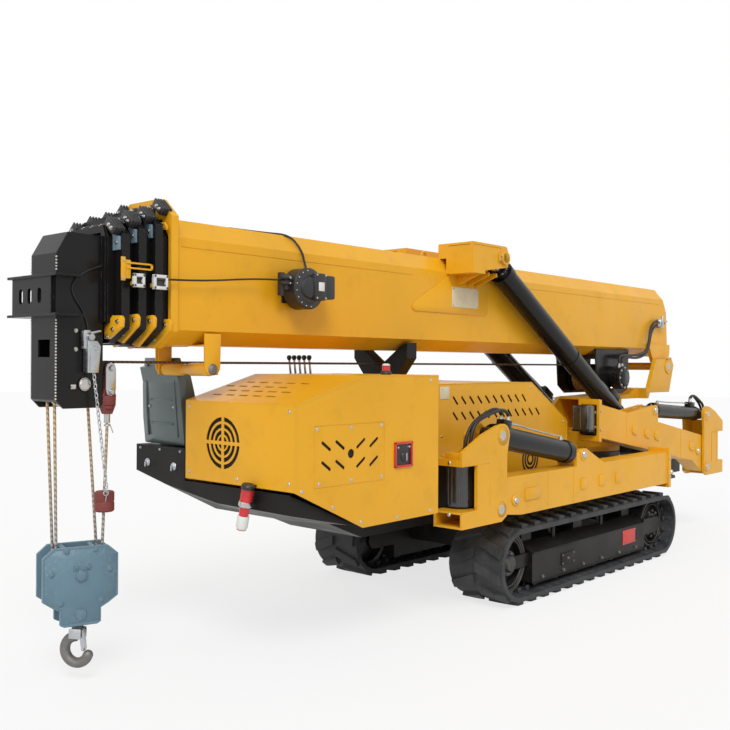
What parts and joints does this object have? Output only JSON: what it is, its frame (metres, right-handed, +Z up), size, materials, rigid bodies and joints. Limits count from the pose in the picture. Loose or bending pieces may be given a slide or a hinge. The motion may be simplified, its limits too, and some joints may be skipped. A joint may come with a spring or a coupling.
{
  "type": "tracked spider crane",
  "caption": "Compact tracked crane with a nested telescopic boom, slewing frame, lift cylinders, folding outriggers and a hanging hook block.",
  "frame": {"origin": "on the ground, at the middle of the machine's length and width", "axes": "+X from the boom head to the boom pivot, +Y to the side away from the engine cover, +Z up"},
  "size_m": [6.585, 1.604, 2.305],
  "materials": {
    "bare_steel": "satin",
    "black_paint": "gloss",
    "block_blue": "satin",
    "cast_grey": "matte",
    "chassis_paint": "satin",
    "lamp_red": "gloss",
    "reel_plastic": "matte",
    "rubber": "matte",
    "seat_plastic": "matte",
    "socket_red": "satin",
    "wire_rope": "satin",
    "yellow_paint": "gloss"
  },
  "bodies": {
    "chassis": {"chassis_frame": "chassis_paint", "front_deck": "chassis_paint", "track_frames": "chassis_paint", "track_left": "rubber", "track_right": "rubber", "track_wheels": "cast_grey", "engine_cover": "yellow_paint", "engine_block": "cast_grey", "tank_cover": "yellow_paint", "boom_rest": "chassis_paint", "operator_seat": "seat_plastic", "lever_bank": "yellow_paint", "beacons": "lamp_red", "slew_ring": "cast_grey"},
    "turret": {"turret": "yellow_paint"},
    "boom": {"boom_base": "yellow_paint", "winch_frame": "black_paint", "winch_drum": "black_paint", "cable_reel": "reel_plastic"},
    "section_2": {"boom_section_2": "black_paint"},
    "section_3": {"boom_section_3": "black_paint"},
    "section_4": {"boom_section_4": "black_paint"},
    "tip": {"boom_section_5": "black_paint", "boom_head": "black_paint", "head_sheaves": "bare_steel", "rope_socket": "socket_red"},
    "hook_assembly": {"hook_block": "block_blue", "block_sheaves": "cast_grey", "hook": "cast_grey", "hoist_falls": "wire_rope"},
    "lift_barrels": {"lift_barrels": "black_paint"},
    "lift_rods": {"lift_rods": "bare_steel"},
    "front_left_knuckle": {"front_left_knuckle": "yellow_paint"},
    "front_left_arm": {"front_left_arm": "yellow_paint"},
    "front_left_leg": {"front_left_leg": "black_paint"},
    "front_left_barrel": {"front_left_barrel": "black_paint"},
    "front_left_rod": {"front_left_rod": "bare_steel"},
    "rear_left_knuckle": {"rear_left_knuckle": "yellow_paint"},
    "rear_left_arm": {"rear_left_arm": "yellow_paint"},
    "rear_left_leg": {"rear_left_leg": "black_paint"},
    "rear_left_barrel": {"rear_left_barrel": "black_paint"},
    "rear_left_rod": {"rear_left_rod": "bare_steel"},
    "front_right_knuckle": {"front_right_knuckle": "yellow_paint"},
    "front_right_arm": {"front_right_arm": "yellow_paint"},
    "front_right_leg": {"front_right_leg": "black_paint"},
    "front_right_barrel": {"front_right_barrel": "black_paint"},
    "front_right_rod": {"front_right_rod": "bare_steel"},
    "rear_right_knuckle": {"rear_right_knuckle": "yellow_paint"},
    "rear_right_arm": {"rear_right_arm": "yellow_paint"},
    "rear_right_leg": {"rear_right_leg": "black_paint"},
    "rear_right_barrel": {"rear_right_barrel": "black_paint"},
    "rear_right_rod": {"rear_right_rod": "bare_steel"}
  },
  "joints": [
    {"name": "slew", "type": "hinge", "parent": "chassis", "child": "turret", "pos_m": [1.6875, 0, 0.79], "axis": [0, 0, 1], "continuous": true},
    {"name": "boom_luff", "type": "hinge", "parent": "turret", "child": "boom", "pos_m": [2.8125, 0, 1.497], "axis": [0, 1, 0], "range_deg": [0, 78]},
    {"name": "telescope_2", "type": "slide", "parent": "boom", "child": "section_2", "axis": [-1, 0, 0], "range_m": [0, 3.9]},
    {"name": "telescope_3", "type": "slide", "parent": "section_2", "child": "section_3", "axis": [-1, 0, 0], "range_m": [0, 3.9]},
    {"name": "telescope_4", "type": "slide", "parent": "section_3", "child": "section_4", "axis": [-1, 0, 0], "range_m": [0, 3.9]},
    {"name": "telescope_5", "type": "slide", "parent": "section_4", "child": "tip", "axis": [-1, 0, 0], "range_m": [0, 3.9]},
    {"name": "hook_hang", "type": "hinge", "parent": "tip", "child": "hook_assembly", "pos_m": [-3.1225, 0, 1.4], "axis": [0, 1, 0], "range_deg": [-79, 1]},
    {"name": "lift_barrel_turn", "type": "hinge", "parent": "turret", "child": "lift_barrels", "pos_m": [1.8075, 0, 1.045], "axis": [0, 1, 0], "range_deg": [0, 76.38]},
    {"name": "lift_rod_slide", "type": "slide", "parent": "lift_barrels", "child": "lift_rods", "axis": [-0.8554, 0, 0.518], "range_m": [0, 1.3854]},
    {"name": "front_left_swing", "type": "hinge", "parent": "chassis", "child": "front_left_knuckle", "pos_m": [-0.9425, 0.65, 0.765], "axis": [0, 0, 1], "range_deg": [0, 110]},
    {"name": "front_left_tilt", "type": "hinge", "parent": "front_left_knuckle", "child": "front_left_arm", "pos_m": [-0.7135, 0.7, 0.629], "axis": [0, 1, 0], "range_deg": [0, 12]},
    {"name": "front_left_barrel_turn", "type": "hinge", "parent": "front_left_knuckle", "child": "front_left_barrel", "pos_m": [-0.7035, 0.7, 1.073], "axis": [0, 1, 0], "range_deg": [0, 10.91]},
    {"name": "front_left_rod_slide", "type": "slide", "parent": "front_left_barrel", "child": "front_left_rod", "axis": [0.9845, 0, -0.1753], "range_m": [0, 0.091]},
    {"name": "front_left_leg_slide", "type": "slide", "parent": "front_left_arm", "child": "front_left_leg", "axis": [1, 0, 0], "range_m": [0, 1]},
    {"name": "rear_left_swing", "type": "hinge", "parent": "chassis", "child": "rear_left_knuckle", "pos_m": [3.1375, 0.46, 0.765], "axis": [0, 0, -1], "range_deg": [0, 110]},
    {"name": "rear_left_tilt", "type": "hinge", "parent": "rear_left_knuckle", "child": "rear_left_arm", "pos_m": [2.9135, 0.51, 0.589], "axis": [0, -1, 0], "range_deg": [0, 25]},
    {"name": "rear_left_barrel_turn", "type": "hinge", "parent": "rear_left_knuckle", "child": "rear_left_barrel", "pos_m": [2.9145, 0.51, 1.067], "axis": [0, -1, 0], "range_deg": [0, 23.62]},
    {"name": "rear_left_rod_slide", "type": "slide", "parent": "rear_left_barrel", "child": "rear_left_rod", "axis": [-0.9979, 0, 0.065], "range_m": [0, 0.2058]},
    {"name": "rear_left_leg_slide", "type": "slide", "parent": "rear_left_arm", "child": "rear_left_leg", "axis": [-0.9854, 0, 0.1702], "range_m": [0, 1]},
    {"name": "front_right_swing", "type": "hinge", "parent": "chassis", "child": "front_right_knuckle", "pos_m": [-0.9425, -0.65, 0.765], "axis": [0, 0, -1], "range_deg": [0, 110]},
    {"name": "front_right_tilt", "type": "hinge", "parent": "front_right_knuckle", "child": "front_right_arm", "pos_m": [-0.7135, -0.7, 0.629], "axis": [0, 1, 0], "range_deg": [0, 12]},
    {"name": "front_right_barrel_turn", "type": "hinge", "parent": "front_right_knuckle", "child": "front_right_barrel", "pos_m": [-0.7035, -0.7, 1.073], "axis": [0, 1, 0], "range_deg": [0, 10.91]},
    {"name": "front_right_rod_slide", "type": "slide", "parent": "front_right_barrel", "child": "front_right_rod", "axis": [0.9845, 0, -0.1753], "range_m": [0, 0.091]},
    {"name": "front_right_leg_slide", "type": "slide", "parent": "front_right_arm", "child": "front_right_leg", "axis": [1, 0, 0], "range_m": [0, 1]},
    {"name": "rear_right_swing", "type": "hinge", "parent": "chassis", "child": "rear_right_knuckle", "pos_m": [3.1375, -0.46, 0.765], "axis": [0, 0, 1], "range_deg": [0, 110]},
    {"name": "rear_right_tilt", "type": "hinge", "parent": "rear_right_knuckle", "child": "rear_right_arm", "pos_m": [2.9135, -0.51, 0.589], "axis": [0, -1, 0], "range_deg": [0, 25]},
    {"name": "rear_right_barrel_turn", "type": "hinge", "parent": "rear_right_knuckle", "child": "rear_right_barrel", "pos_m": [2.9145, -0.51, 1.067], "axis": [0, -1, 0], "range_deg": [0, 23.62]},
    {"name": "rear_right_rod_slide", "type": "slide", "parent": "rear_right_barrel", "child": "rear_right_rod", "axis": [-0.9979, 0, 0.065], "range_m": [0, 0.2058]},
    {"name": "rear_right_leg_slide", "type": "slide", "parent": "rear_right_arm", "child": "rear_right_leg", "axis": [-0.9854, 0, 0.1702], "range_m": [0, 1]}
  ],
  "couplings": [
    {"joint": "telescope_3", "follows": "telescope_2", "ratio": 1},
    {"joint": "telescope_4", "follows": "telescope_2", "ratio": 1},
    {"joint": "telescope_5", "follows": "telescope_2", "ratio": 1},
    {"joint": "hook_hang", "follows": "boom_luff", "ratio": -1},
    {"joint": "lift_barrel_turn", "follows": "boom_luff", "ratio": 0.97855},
    {"joint": "lift_rod_slide", "follows": "boom_luff", "m_per_rad": 1.0169},
    {"joint": "front_left_tilt", "follows": "front_left_swing", "ratio": 0.10909},
    {"joint": "front_left_barrel_turn", "follows": "front_left_swing", "ratio": 0.0983},
    {"joint": "front_left_rod_slide", "follows": "front_left_swing", "m_per_rad": 0.046882},
    {"joint": "rear_left_swing", "follows": "front_left_swing", "ratio": 1},
    {"joint": "rear_left_tilt", "follows": "front_left_swing", "ratio": 0.22727},
    {"joint": "rear_left_barrel_turn", "follows": "front_left_swing", "ratio": 0.21379},
    {"joint": "rear_left_rod_slide", "follows": "front_left_swing", "m_per_rad": 0.1067},
    {"joint": "front_right_tilt", "follows": "front_right_swing", "ratio": 0.10909},
    {"joint": "front_right_barrel_turn", "follows": "front_right_swing", "ratio": 0.0983},
    {"joint": "front_right_rod_slide", "follows": "front_right_swing", "m_per_rad": 0.046882},
    {"joint": "rear_right_swing", "follows": "front_right_swing", "ratio": 1},
    {"joint": "rear_right_tilt", "follows": "front_right_swing", "ratio": 0.22727},
    {"joint": "rear_right_barrel_turn", "follows": "front_right_swing", "ratio": 0.21379},
    {"joint": "rear_right_rod_slide", "follows": "front_right_swing", "m_per_rad": 0.1067}
  ]
}
